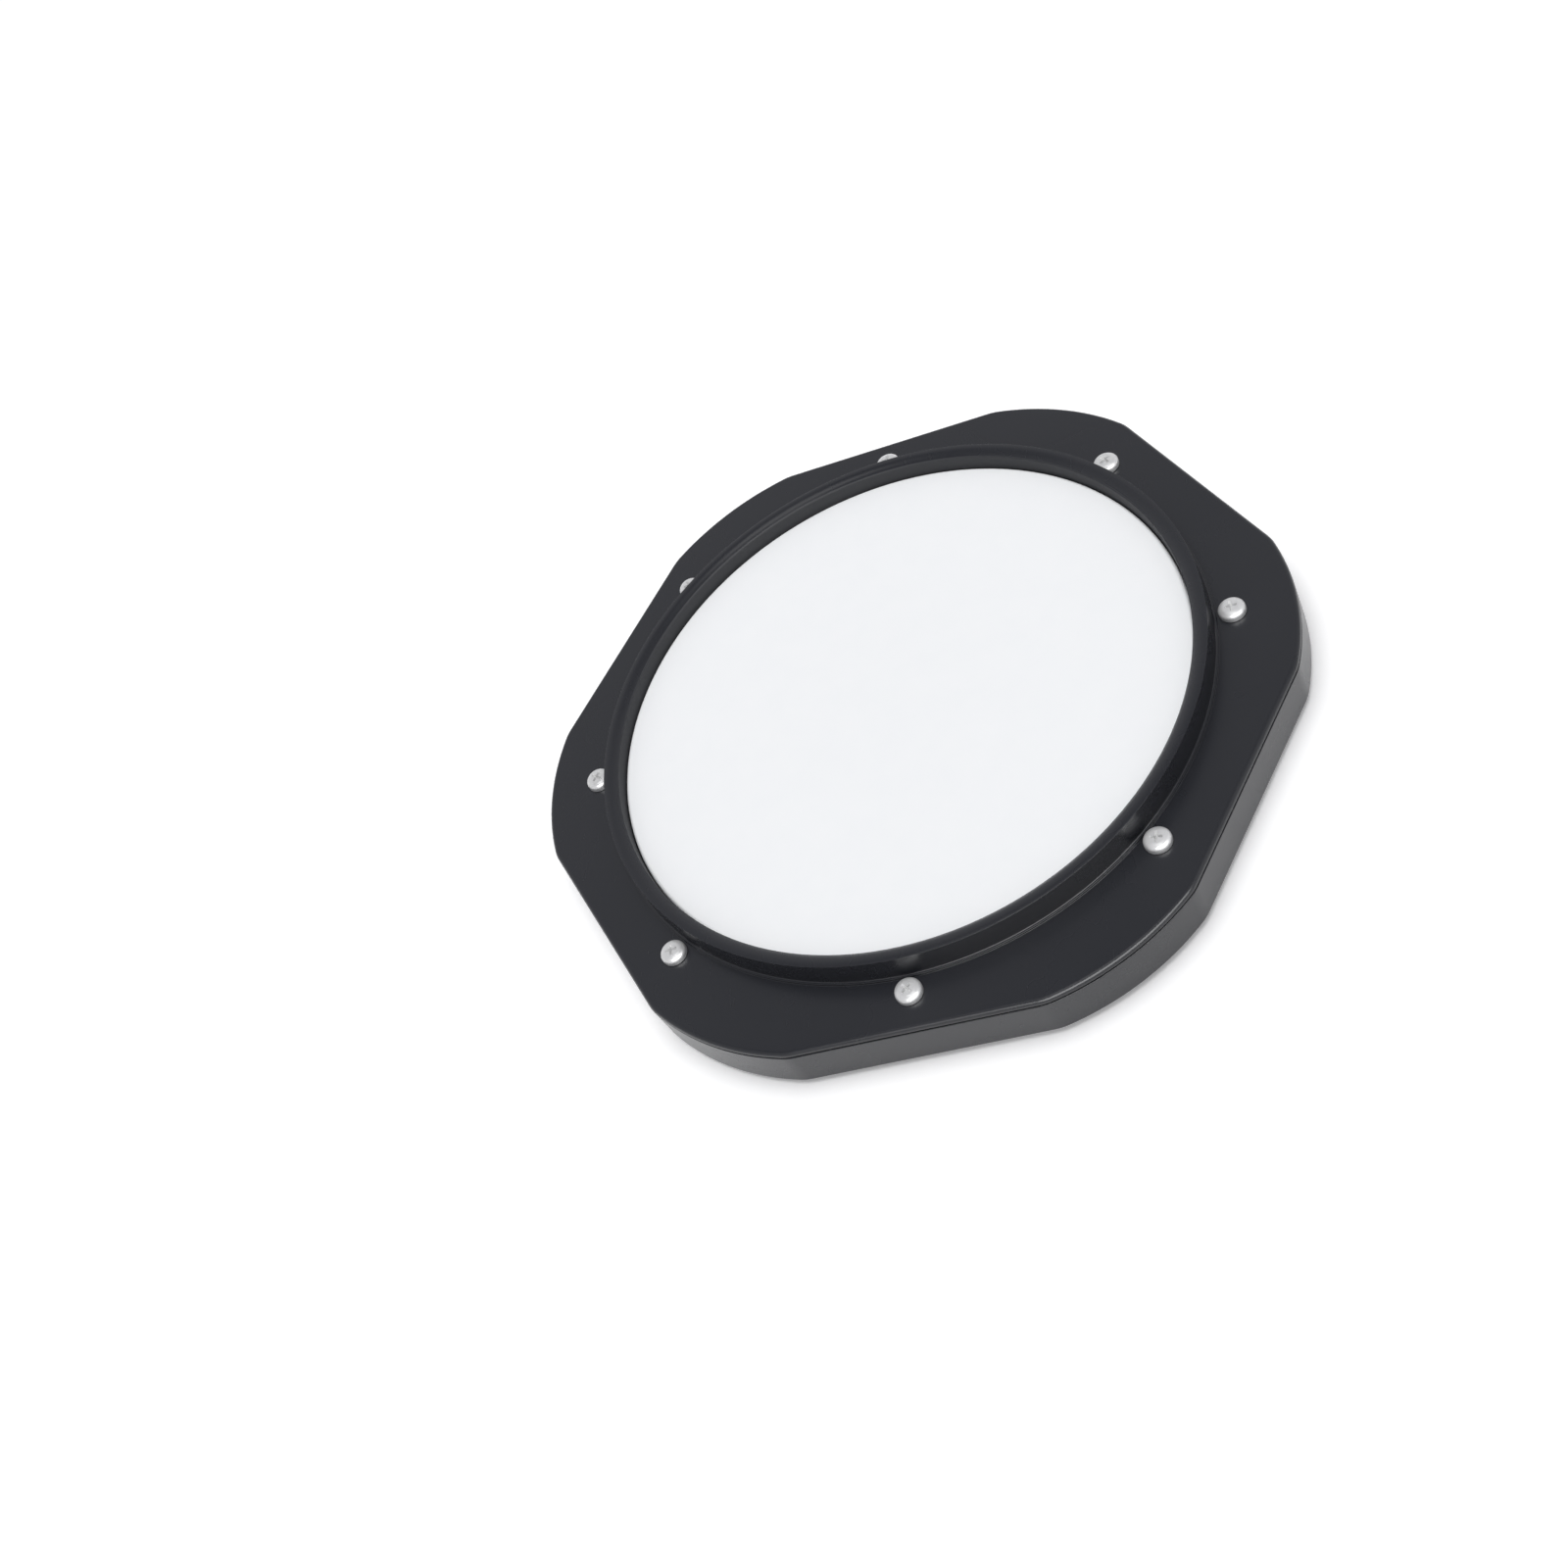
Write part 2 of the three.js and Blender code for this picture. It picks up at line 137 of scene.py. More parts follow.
# Each screw has stopped a little further round than the one before it
SCREW_TURN = 0.65
RECESS_DEPTH = 2.0 * MM
RECESS_WIDTH = 4.2 * MM
RECESS_BLADE = 0.95 * MM
THREAD_PITCH = 0.8 * MM
THREAD_CREST = 2.4 * MM
THREAD_ROOT = 2.0 * MM
HEX_SIDES = 6
NUT_ACROSS_FLATS = 8 * MM

# How finely round shapes are divided
ROUND = 288
SMALL_ROUND = 48
# A radius, or the distance between two points, that counts as none
TINY = 1e-6

# The direction of the camera from the pad, seen from above
CAMERA_BEARING = radians(28.32 - 90)

# ---------------------------------------------------------------------------
# Mesh helpers
# ---------------------------------------------------------------------------


def rounded(corners, closed=False, steps=6):
    """The points of a line through corners (across, up, radius), with an arc at each that has a radius."""
    points = []
    for i, (across, up, radius) in enumerate(corners):
        corner = Vector((across, up))
        at_end = not closed and i in (0, len(corners) - 1)
        if radius == 0 or at_end:
            points.append(corner)
            continue
        before = (Vector(corners[i - 1][:2]) - corner).normalized()
        after = (Vector(corners[(i + 1) % len(corners)][:2]) - corner).normalized()
        half = before.angle(after) / 2
        sweep = pi - 2 * half
        centre = corner + (before + after).normalized() * (radius / sin(half))
        start = corner + before * (radius / tan(half)) - centre
        end = corner + after * (radius / tan(half)) - centre
        for step in range(steps + 1):
            share = step / steps
            swung = start * sin((1 - share) * sweep) + end * sin(share * sweep)
            points.append(centre + swung / sin(sweep))
    return points


def polar(radius, angle, height=0.0):
    """The point at a distance from the Z axis, in the direction of an angle."""
    return Vector((radius * cos(angle), radius * sin(angle), height))


def even_angles(count):
    """The angles of a number of places spread evenly round the Z axis, from +X on."""
    return [i * 2 * pi / count for i in range(count)]


def outline_points(inset):
    """The six-lobed outline moved inwards: straight sides, wide lobes, and a round corner between the two."""
    straight_steps, corner_steps, lobe_steps = 16, 8, 20
    lobe_distance = LOBE_TIP - LOBE_ARC
    lobe_across = lobe_distance * sin(SECTOR / 2)
    corner_along = FLAT_DISTANCE - CORNER
    reach = corner_along - lobe_distance * cos(SECTOR / 2)
    rise = sqrt((LOBE_ARC - CORNER) ** 2 - reach**2)
    corner_turn = atan2(rise, reach)
    corner_distance = hypot(corner_along, lobe_across + rise)
    corner_angle = atan2(lobe_across + rise, corner_along)
    points = []
    for lobe in range(LOBE_COUNT):
        side = (lobe - 0.5) * SECTOR
        after = side + SECTOR
        lobe_start, lobe_end = side + corner_turn, after - corner_turn
        stretches = (
            (polar(corner_distance, side + corner_angle), CORNER, side, lobe_start, corner_steps),
            (polar(lobe_distance, lobe * SECTOR), LOBE_ARC, lobe_start, lobe_end, lobe_steps),
            (polar(corner_distance, after - corner_angle), CORNER, lobe_end, after, corner_steps),
        )
        for centre, radius, start, end, steps in stretches:
            for step in range(steps):
                angle = start + (end - start) * step / steps
                points.append(centre + polar(radius - inset, angle))
        last = polar(corner_distance, after - corner_angle) + polar(CORNER - inset, after)
        first = polar(corner_distance, after + corner_angle) + polar(CORNER - inset, after)
        points += [last.lerp(first, step / straight_steps) for step in range(straight_steps)]
    return points


BEARINGS = [atan2(point.y, point.x) for point in outline_points(0)]


def circle_row(radius, height):
    """A circle whose points lie in the same directions as those of the outline."""
    return [polar(radius, angle, height) for angle in BEARINGS]


def outline_row(inset, height):
    """The outline at one inset and height."""
    return [Vector((point.x, point.y, height)) for point in outline_points(inset)]


def between(first, last, shares):
    """Rows part of the way from one row to another."""
    return [[a.lerp(b, share) for a, b in zip(first, last)] for share in shares]


def skin(rows, closed=False):
    """A mesh over rows of points that run round the Z axis. A row of one point closes an end."""
    shape = bmesh.new()
    rings = [[shape.verts.new(point) for point in row] for row in rows]
    pairs = list(zip(rings, rings[1:]))
    if closed:
        pairs.append((rings[-1], rings[0]))
    for low, high in pairs:
        count = max(len(low), len(high))
        for i in range(count):
            j = (i + 1) % count
            corners = (low[i % len(low)], low[j % len(low)], high[j % len(high)], high[i % len(high)])
            shape.faces.new(dict.fromkeys(corners))
    bmesh.ops.recalc_face_normals(shape, faces=shape.faces)
    return shape


def turned(profile, segments=ROUND, closed=False):
    """A mesh made by turning points (radius, height) about the Z axis, where a radius of 0 is one point."""
    angles = even_angles(segments)
    rows = [
        [Vector((0, 0, height))] if radius < TINY else [polar(radius, angle, height) for angle in angles]
        for radius, height in profile
    ]
    return skin(rows, closed)


def prism(radius, bottom, top, sides, turn=0.0):
    """A closed upright prism about the Z axis."""
    angles = [angle + turn for angle in even_angles(sides)]
    ring = [[polar(radius, angle, height) for angle in angles] for height in (bottom, top)]
    return skin([[Vector((0, 0, bottom))], *ring, [Vector((0, 0, top))]])


def placed(shape, matrix):
    """The shape after moving it."""
    shape.transform(matrix)
    return shape


def out_and_round(radius, angle, height=0.0):
    """The move from the Z axis to a place at a radius and angle, turned to face outwards."""
    return Matrix.Translation(polar(radius, angle, height)) @ Matrix.Rotation(angle, 4, "Z")


def joined(shapes):
    """Several separate shapes as one."""
    whole = bmesh.new()
    for shape in shapes:
        part = bpy.data.meshes.new("part")
        shape.to_mesh(part)
        shape.free()
        whole.from_mesh(part)
        bpy.data.meshes.remove(part)
    return whole


def as_object(name, shape):
    """A shape as an object in the scene."""
    mesh = bpy.data.meshes.new(name)
    shape.to_mesh(mesh)
    shape.free()
    thing = bpy.data.objects.new(name, mesh)
    bpy.context.scene.collection.objects.link(thing)
    return thing


def applied(thing):
    """The object with its modifiers made part of its mesh."""
    graph = bpy.context.evaluated_depsgraph_get()
    mesh = bpy.data.meshes.new_from_object(thing.evaluated_get(graph))
    old = thing.data
    thing.modifiers.clear()
    thing.data = mesh
    bpy.data.meshes.remove(old)
    mesh.name = thing.name
    return thing


def combine(thing, shape, operation):
    """Joins a shape to an object, or cuts it away."""
    tool = as_object("tool", shape)
    modifier = thing.modifiers.new("combine", "BOOLEAN")
    modifier.operation = operation
    modifier.solver = "MANIFOLD"
    modifier.object = tool
    applied(thing)
    bpy.data.objects.remove(tool)
    return thing


def shaded(thing, material, angle=40):
    """Smooth shading with crisp edges where faces meet at more than an angle, and flat faces kept flat."""
    mesh = thing.data
    mesh.materials.clear()
    mesh.materials.append(material)
    for polygon in mesh.polygons:
        polygon.use_smooth = True
    mesh.set_sharp_from_angle(angle=radians(angle))
    weighted = thing.modifiers.new("weighted", "WEIGHTED_NORMAL")
    weighted.keep_sharp = True
    return applied(thing)


def fitted(thing, body, slot, *nodes):
    """The piece moves with a body and stands for its CAD nodes, which it hides; the slot is not used."""
    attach(thing, body)
    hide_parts(*nodes)
    return thing


# ---------------------------------------------------------------------------
# Materials
# ---------------------------------------------------------------------------


class Finish:
    """A node material under construction. Its patterns lie on the piece's own coordinates."""

    def __init__(self, name, **sockets):
        self.material = bpy.data.materials.new(name)
        self.material.use_nodes = True
        self.tree = self.material.node_tree
        self.shader = self.tree.nodes["Principled BSDF"]
        self.place = self.tree.nodes.new("ShaderNodeTexCoord").outputs["Object"]
        for socket, value in sockets.items():
            self.shader.inputs[socket.replace("_", " ")].default_value = value

    def add(self, kind, inputs, **settings):
        """A new node with its settings, and its inputs as links or values."""
        new = self.tree.nodes.new(kind)
        for setting, value in settings.items():
            setattr(new, setting, value)
        for socket, value in inputs.items():
            if isinstance(value, bpy.types.NodeSocket):
                self.tree.links.new(value, new.inputs[socket])
            else:
                new.inputs[socket].default_value = value
        return new

    def noise(self, size, detail=2.0, stretch=(1, 1, 1), distortion=0.0):
        """Noise with features of a size in metres, from about 0 to 1."""
        spread = self.add("ShaderNodeMapping", {"Vector": self.place, "Scale": stretch}).outputs[0]
        inputs = {"Vector": spread, "Scale": 1 / size, "Detail": detail, "Distortion": distortion}
        return self.add("ShaderNodeTexNoise", inputs).outputs["Fac"]

    def cells(self, size, feature="F1"):
        """The distance to the nearest of many scattered points, for pores and grains."""
        inputs = {"Vector": self.place, "Scale": 1 / size}
        return self.add("ShaderNodeTexVoronoi", inputs, feature=feature).outputs["Distance"]

    def span(self, value, low, high, to_low=0.0, to_high=1.0):
        """A value's stretch from low to high, moved to another stretch and held inside it."""
        inputs = {"Value": value, "From Min": low, "From Max": high, "To Min": to_low, "To Max": to_high}
        return self.add("ShaderNodeMapRange", inputs).outputs[0]

    def maths(self, operation, first, second=0.0):
        """One sum on two values."""
        new = self.add("ShaderNodeMath", {}, operation=operation)
        for socket, value in zip(new.inputs, (first, second)):
            if isinstance(value, bpy.types.NodeSocket):
                self.tree.links.new(value, socket)
            else:
                socket.default_value = value
        return new.outputs[0]

    def blend(self, share, first, second):
        """A colour between two others."""
        new = self.add("ShaderNodeMix", {}, data_type="RGBA")
        self.tree.links.new(share, new.inputs["Factor"])
        new.inputs[6].default_value = (*first, 1)
        new.inputs[7].default_value = (*second, 1)
        return new.outputs[2]

    def axis(self, name):
        """One coordinate of the place on the piece."""
        return self.add("ShaderNodeSeparateXYZ", {"Vector": self.place}).outputs[name]

    def from_axis(self):
        """The distance from the piece's Z axis."""
        flat = self.add("ShaderNodeVectorMath", {0: self.place, 1: (1, 1, 0)}, operation="MULTIPLY")
        return self.add("ShaderNodeVectorMath", {0: flat.outputs[0]}, operation="LENGTH").outputs["Value"]

    def bump(self, height, strength, distance, below=None):
        """Raises the surface by a height, on top of the bump below it."""
        inputs = {"Height": height, "Strength": strength, "Distance": distance}
        if below is not None:
            inputs["Normal"] = below
        return self.add("ShaderNodeBump", inputs).outputs["Normal"]

    def wire(self, **sockets):
        """Links outputs to the shader's sockets, and gives the material."""
        for socket, output in sockets.items():
            self.tree.links.new(output, self.shader.inputs[socket.replace("_", " ")])
        return self.material


def moulded_plastic():
    """Black satin ABS: a moulded grain, uneven gloss, handling marks, and a duller wall above the head."""
    finish = Finish("moulded_black_plastic", IOR=1.54)
    clouds = finish.noise(38 * MM, 3)
    grain = finish.noise(0.42 * MM, 3)
    rubbed = finish.noise(3 * MM, 6, stretch=(1, 0.12, 1), distortion=0.6)
    marks = finish.span(rubbed, 0.62, 0.72)
    colour = finish.blend(clouds, (0.0170, 0.0182, 0.0225), (0.0200, 0.0212, 0.0255))
    gloss = finish.span(clouds, 0.3, 0.7, 0.24, 0.30)
    gloss = finish.maths("ADD", gloss, finish.maths("MULTIPLY", marks, 0.03))
    inwards = finish.span(finish.from_axis(), OPENING + 0.5 * MM, OPENING + 0.2 * MM)
    above = finish.span(finish.axis("Z"), FLANGE_TOP, FLANGE_TOP + 1 * MM)
    duller = finish.maths("MULTIPLY", inwards, above)
    gloss = finish.maths("ADD", gloss, finish.maths("MULTIPLY", duller, 0.4))
    normal = finish.bump(grain, 0.10, 0.05 * MM)
    normal = finish.bump(finish.noise(14 * MM, 2), 0.05, 0.6 * MM, normal)
    return finish.wire(Base_Color=colour, Roughness=gloss, Normal=normal)


def coated_film():
    """White film with a sprayed coat: a fine tooth over a slight mottle, a touch smoother in the middle."""
    finish = Finish("coated_white_film", Specular_IOR_Level=0.4)
    mottle = finish.noise(9 * MM, 4)
    speckle = finish.cells(0.9 * MM)
    tooth = finish.noise(0.5 * MM, 4)
    colour = finish.blend(mottle, (0.88, 0.895, 0.905), (0.905, 0.915, 0.92))
    played = finish.span(finish.from_axis(), 20 * MM, 75 * MM)
    gloss = finish.maths("ADD", finish.span(played, 0, 1, 0.5, 0.62), finish.span(mottle, 0, 1, 0, 0.08))
    normal = finish.bump(tooth, 0.25, 0.06 * MM)
    normal = finish.bump(speckle, 0.12, 0.05 * MM, normal)
    return finish.wire(Base_Color=colour, Roughness=gloss, Normal=normal)


def bright_steel():
    """Nickel-plated steel: fine rings from turning, and a thin haze that dulls it unevenly."""
    finish = Finish("nickel_plated_steel", Metallic=0.6)
    haze = finish.noise(1.6 * MM, 4)
    rings = finish.maths("SINE", finish.maths("MULTIPLY", finish.from_axis(), 2 * pi / (0.22 * MM)))
    rings = finish.span(rings, -1, 1)
    colour = finish.blend(haze, (0.86, 0.865, 0.865), (0.93, 0.93, 0.925))
    gloss = finish.span(haze, 0.3, 0.7, 0.32, 0.44)
    normal = finish.bump(rings, 0.10, 0.02 * MM)
    normal = finish.bump(finish.noise(0.7 * MM, 3), 0.12, 0.04 * MM, normal)
    return finish.wire(Base_Color=colour, Roughness=gloss, Normal=normal)


def zinc_steel():
    """Zinc-plated nuts: a faint blue and yellow bloom over a grainy, slightly pitted surface."""
    finish = Finish("zinc_plated_steel", Metallic=1.0)
    bloom = finish.noise(2.2 * MM, 3, distortion=0.8)
    colour = finish.blend(finish.span(bloom, 0.35, 0.65), (0.62, 0.66, 0.72), (0.76, 0.73, 0.60))
    gloss = finish.span(finish.noise(0.5 * MM, 4), 0.3, 0.7, 0.28, 0.46)
    normal = finish.bump(finish.cells(0.35 * MM), 0.2, 0.03 * MM)
    return finish.wire(Base_Color=colour, Roughness=gloss, Normal=normal)


def drawn_aluminium():
    """Drawn aluminium: long fine lines that follow the hoop round, and a soft sheen."""
    finish = Finish("drawn_aluminium", Metallic=1.0)
    across = finish.maths("ADD", finish.from_axis(), finish.axis("Z"))
    lines = finish.add("ShaderNodeTexNoise", {"W": across, "Scale": 1 / (0.12 * MM), "Detail": 3.0},
                       noise_dimensions="1D").outputs["Fac"]
    colour = finish.blend(lines, (0.70, 0.71, 0.72), (0.82, 0.825, 0.83))
    gloss = finish.span(lines, 0.3, 0.7, 0.3, 0.46)
    normal = finish.bump(lines, 0.25, 0.03 * MM)
    return finish.wire(Base_Color=colour, Roughness=gloss, Normal=normal)


def open_cell_foam():
    """Dark open-cell foam: round pores of two sizes, with painted shade darkening each pore inside, and thin
    paler walls.
    """
    finish = Finish("open_cell_foam", Specular_IOR_Level=0.15, Roughness=0.95, Sheen_Weight=0.15)
    pores = finish.cells(1.1 * MM)
    fine = finish.cells(0.45 * MM)
    # Painted shade: the colour darkens towards each pore's middle, where the hollow would be shadowed, and is
    # paler on the walls between.
    painted_pore_shade = finish.maths("MULTIPLY", finish.span(pores, 0.1, 0.6), finish.span(fine, 0.05, 0.5, 0.5, 1))
    colour = finish.blend(painted_pore_shade, (0.018, 0.018, 0.020), (0.085, 0.086, 0.090))
    normal = finish.bump(pores, 0.9, 0.4 * MM)
    normal = finish.bump(fine, 0.5, 0.2 * MM, normal)
    return finish.wire(Base_Color=colour, Normal=normal)


def foot_rubber():
    """Matte black rubber: a dusty bloom, greyer in the hollows, and a fine orange-peel grain."""
    finish = Finish("matte_black_rubber", Specular_IOR_Level=0.3)
    dust = finish.span(finish.noise(2.5 * MM, 5), 0.45, 0.75)
    colour = finish.blend(dust, (0.016, 0.016, 0.016), (0.045, 0.044, 0.042))
    gloss = finish.span(dust, 0, 1, 0.62, 0.86)
    normal = finish.bump(finish.noise(0.3 * MM, 3), 0.35, 0.06 * MM)
    return finish.wire(Base_Color=colour, Roughness=gloss, Normal=normal)


PLASTIC = moulded_plastic()
FILM = coated_film()
STEEL = bright_steel()
ZINC = zinc_steel()
ALUMINIUM = drawn_aluminium()
FOAM = open_cell_foam()
RUBBER = foot_rubber()

# ---------------------------------------------------------------------------
# The rim
# ---------------------------------------------------------------------------


def crest():
    """The corners of the ring's crest: a dome from the opening to the outer wall, with crisp edges."""
    steps = 14
    inner_edge, outer_edge = 0.12 * MM, 0.08 * MM
    start = asin((CREST_RADIUS - OPENING) / CREST_CURVE)
    end = asin((CREST_RADIUS - RING_TOP) / CREST_CURVE)
    centre = CREST_TOP - CREST_CURVE
    corners = []
    for step in range(steps + 1):
        tilt = start + (end - start) * step / steps
        edge = {0: inner_edge, steps: outer_edge}.get(step, 0)
        corners.append((CREST_RADIUS - CREST_CURVE * sin(tilt), centre + CREST_CURVE * cos(tilt), edge))
    return corners


def moulded_rim():
    """The flange with its rounded edge, the raised ring, and the lip that drops inside the base's wall."""
    pressing_face = HOOP_HIGH.z + GAP
    ring = rounded([
        (HOLLOW_OUTER + 1 * MM, FLANGE_BOTTOM, 0),
        (HOLLOW_OUTER, FLANGE_BOTTOM, 0.3 * MM),
        (HOLLOW_OUTER, HOLLOW_TOP, 0.5 * MM),
        (PRESSING_OUTER, HOLLOW_TOP, 0.5 * MM),
        (PRESSING_OUTER, pressing_face, 0.3 * MM),
        (PRESSING_INNER, pressing_face, 0.3 * MM),
        (OPENING, RELIEF_TOP, 2 * MM),
        *crest(),
        (RING_FOOT, TERRACE_TOP, 0.5 * MM),
        (TERRACE, TERRACE_TOP, 0.2 * MM),
        (TERRACE, FLANGE_TOP, 0.2 * MM),
        (TERRACE + 2 * MM, FLANGE_TOP, 0),
    ])
    lip_outer = WALL + GAP
    lip_inner = lip_outer + LIP_THICKNESS
    edge = rounded([
        (EDGE_STRIP, FLANGE_TOP, 0),
        (0, FLANGE_TOP, RIM_EDGE),
        (0, FLANGE_BOTTOM, 0.12 * MM),
        (lip_outer, FLANGE_BOTTOM, 0.15 * MM),
        (lip_outer, FLANGE_BOTTOM - LIP_DEPTH, 0.4 * MM),
        (lip_inner, FLANGE_BOTTOM - LIP_DEPTH, 0.4 * MM),
        (lip_inner, FLANGE_BOTTOM, 0.5 * MM),
        (lip_inner + 2 * MM, FLANGE_BOTTOM, 0),
    ], steps=7)
    ring_rows = [circle_row(radius, height) for radius, height in ring]
    edge_rows = [outline_row(inset, height) for inset, height in edge]
    rows = [
        *ring_rows,
        *between(ring_rows[-1], edge_rows[0], (0.25, 0.5, 0.75)),
        *edge_rows,
        *between(edge_rows[-1], ring_rows[0], (0.3, 0.7)),
    ]
    rim = as_object("moulded_rim", skin(rows, closed=True))
    chamfer = 0.35 * MM
    hole = [
        (0, FLANGE_BOTTOM - OVERLAP),
        (HOLE_RADIUS, FLANGE_BOTTOM - OVERLAP),
        (HOLE_RADIUS, FLANGE_TOP - chamfer),
        (HOLE_RADIUS + chamfer + OVERLAP, FLANGE_TOP + OVERLAP),
        (0, FLANGE_TOP + OVERLAP),
    ]
    holes = [placed(turned(hole, SMALL_ROUND), out_and_round(SCREW_CIRCLE, angle))
             for angle in even_angles(SCREW_COUNT)]
    combine(rim, joined(holes), "DIFFERENCE")
    return fitted(shaded(rim, PLASTIC), "rim", "body_plastic", "top_rim")


# ---------------------------------------------------------------------------
# The base
# ---------------------------------------------------------------------------


def base_tray():
    """The base's floor and outer wall, with the bearing ring that carries the head."""
    bearing_top = FOAM_HIGH.z
    wall = rounded([
        (EDGE_STRIP, BASE_BOTTOM, 0),
        (0, BASE_BOTTOM, 1.2 * MM),
        (0, WALL_TOP, 0.3 * MM),
        (WALL, WALL_TOP, 0.5 * MM),
        (WALL, FLOOR_TOP, 1.2 * MM),
        (WALL + 3 * MM, FLOOR_TOP, 0),
    ])
    bearing = rounded([
        (BEARING_OUTER + 2 * MM, FLOOR_TOP, 0),
        (BEARING_OUTER, FLOOR_TOP, 0.8 * MM),
        (BEARING_OUTER, bearing_top, 1.1 * MM),
        (BEARING_INNER, bearing_top, 0.5 * MM),
        (BEARING_INNER, FLOOR_TOP, 0.25 * MM),
        (BEARING_INNER - 2 * MM, FLOOR_TOP, 0),
    ])
    under_radius = 88 * MM
    inner_radius = 40 * MM
    wall_rows = [outline_row(inset, height) for inset, height in wall]
    bearing_rows = [circle_row(radius, height) for radius, height in bearing]
    under_row = circle_row(under_radius, BASE_BOTTOM)
    rows = [
        [Vector((0, 0, BASE_BOTTOM))],
        circle_row(inner_radius, BASE_BOTTOM),
        under_row,
        *between(under_row, wall_rows[0], (0.5,)),
        *wall_rows,
        *between(wall_rows[-1], bearing_rows[0], (0.5,)),
        *bearing_rows,
        circle_row(inner_radius, FLOOR_TOP),
        [Vector((0, 0, FLOOR_TOP))],
    ]
    return as_object("moulded_base", skin(rows))


def screw_boss():
    """A boss with a chamfered top and a flared foot, about the Z axis."""
    profile = rounded([
        (0, FLOOR_TOP - OVERLAP, 0),
        (BOSS_RADIUS, FLOOR_TOP - OVERLAP, 0),
        (BOSS_RADIUS, BOSS_TOP, 0.5 * MM),
        (0, BOSS_TOP, 0),
    ])
    return turned(profile, SMALL_ROUND)


def rib(start, end):
    """A rib that points along X, with a rounded top and a slight taper."""
    taper = 0.25 * MM
    section = rounded([
        (-RIB_THICKNESS / 2, FLOOR_TOP - OVERLAP, 0),
        (taper - RIB_THICKNESS / 2, RIB_TOP, 0.4 * MM),
        (RIB_THICKNESS / 2 - taper, RIB_TOP, 0.4 * MM),
        (RIB_THICKNESS / 2, FLOOR_TOP - OVERLAP, 0),
    ], steps=3)
    shape = bmesh.new()
    ends = [[shape.verts.new((x, across, up)) for across, up in section] for x in (start, end)]
    for i in range(len(section)):
        j = (i + 1) % len(section)
        shape.faces.new((ends[0][i], ends[0][j], ends[1][j], ends[1][i]))
    shape.faces.new(ends[0])
    shape.faces.new(ends[1])
    bmesh.ops.recalc_face_normals(shape, faces=shape.faces)
    return shape


def distance_to_wall(angle):
    """How far out the base's wall is in one direction."""
    turn = (angle + SECTOR / 2) % SECTOR - SECTOR / 2
    lobe_distance = LOBE_TIP - LOBE_ARC
    lobe = lobe_distance * cos(turn) + sqrt(LOBE_ARC**2 - (lobe_distance * sin(turn)) ** 2)
    return min(lobe, FLAT_DISTANCE / cos(SECTOR / 2 - abs(turn)))


def moulded_base():
    """The tray with its bosses, ribs, screw holes, nut pockets and foot recesses."""
    base = base_tray()
    screw_angles = even_angles(SCREW_COUNT)
    ribs = []
    for angle in screw_angles:
        end = distance_to_wall(angle) - WALL / 2
        ribs.append(placed(rib(BEARING_OUTER - OVERLAP, end), Matrix.Rotation(angle, 4, "Z")))
    combine(base, joined(ribs), "UNION")
    bosses = [placed(screw_boss(), out_and_round(SCREW_CIRCLE, angle)) for angle in screw_angles]
    combine(base, joined(bosses), "UNION")
    chamfer = 0.4 * MM
    bore = [
        (0, BASE_BOTTOM - OVERLAP),
        (HOLE_RADIUS, BASE_BOTTOM - OVERLAP),
        (HOLE_RADIUS, BOSS_TOP - chamfer),
        (HOLE_RADIUS + chamfer + OVERLAP, BOSS_TOP + OVERLAP),
        (0, BOSS_TOP + OVERLAP),
    ]
    bores = [placed(turned(bore, SMALL_ROUND), out_and_round(SCREW_CIRCLE, angle)) for angle in screw_angles]
    combine(base, joined(bores), "DIFFERENCE")
    pocket_radius = POCKET_ACROSS_FLATS / 2 / cos(pi / HEX_SIDES)
    pockets = []
    for angle in screw_angles:
        pocket = prism(pocket_radius, BASE_BOTTOM - OVERLAP, POCKET_TOP, HEX_SIDES)
        pockets.append(placed(pocket, out_and_round(SCREW_CIRCLE, angle)))
    combine(base, joined(pockets), "DIFFERENCE")
    recess_radius = (FOOT_HIGH.x - FOOT_LOW.x) / 2 + GAP
    mouth = 0.3 * MM
    recess = [
        (0, BASE_BOTTOM - OVERLAP),
        (recess_radius + mouth + OVERLAP, BASE_BOTTOM - OVERLAP),
        (recess_radius, BASE_BOTTOM + mouth),
        (recess_radius, BASE_BOTTOM + FOOT_RECESS),
        (0, BASE_BOTTOM + FOOT_RECESS),
    ]
    recesses = [placed(turned(recess, SMALL_ROUND), out_and_round(FOOT_CIRCLE, angle))
                for angle in even_angles(FOOT_COUNT)]
    combine(base, joined(recesses), "DIFFERENCE")
    return fitted(shaded(base, PLASTIC), "base", "body_plastic", "base_shell")


# ---------------------------------------------------------------------------
# The head: film, hoop and foam
# ---------------------------------------------------------------------------


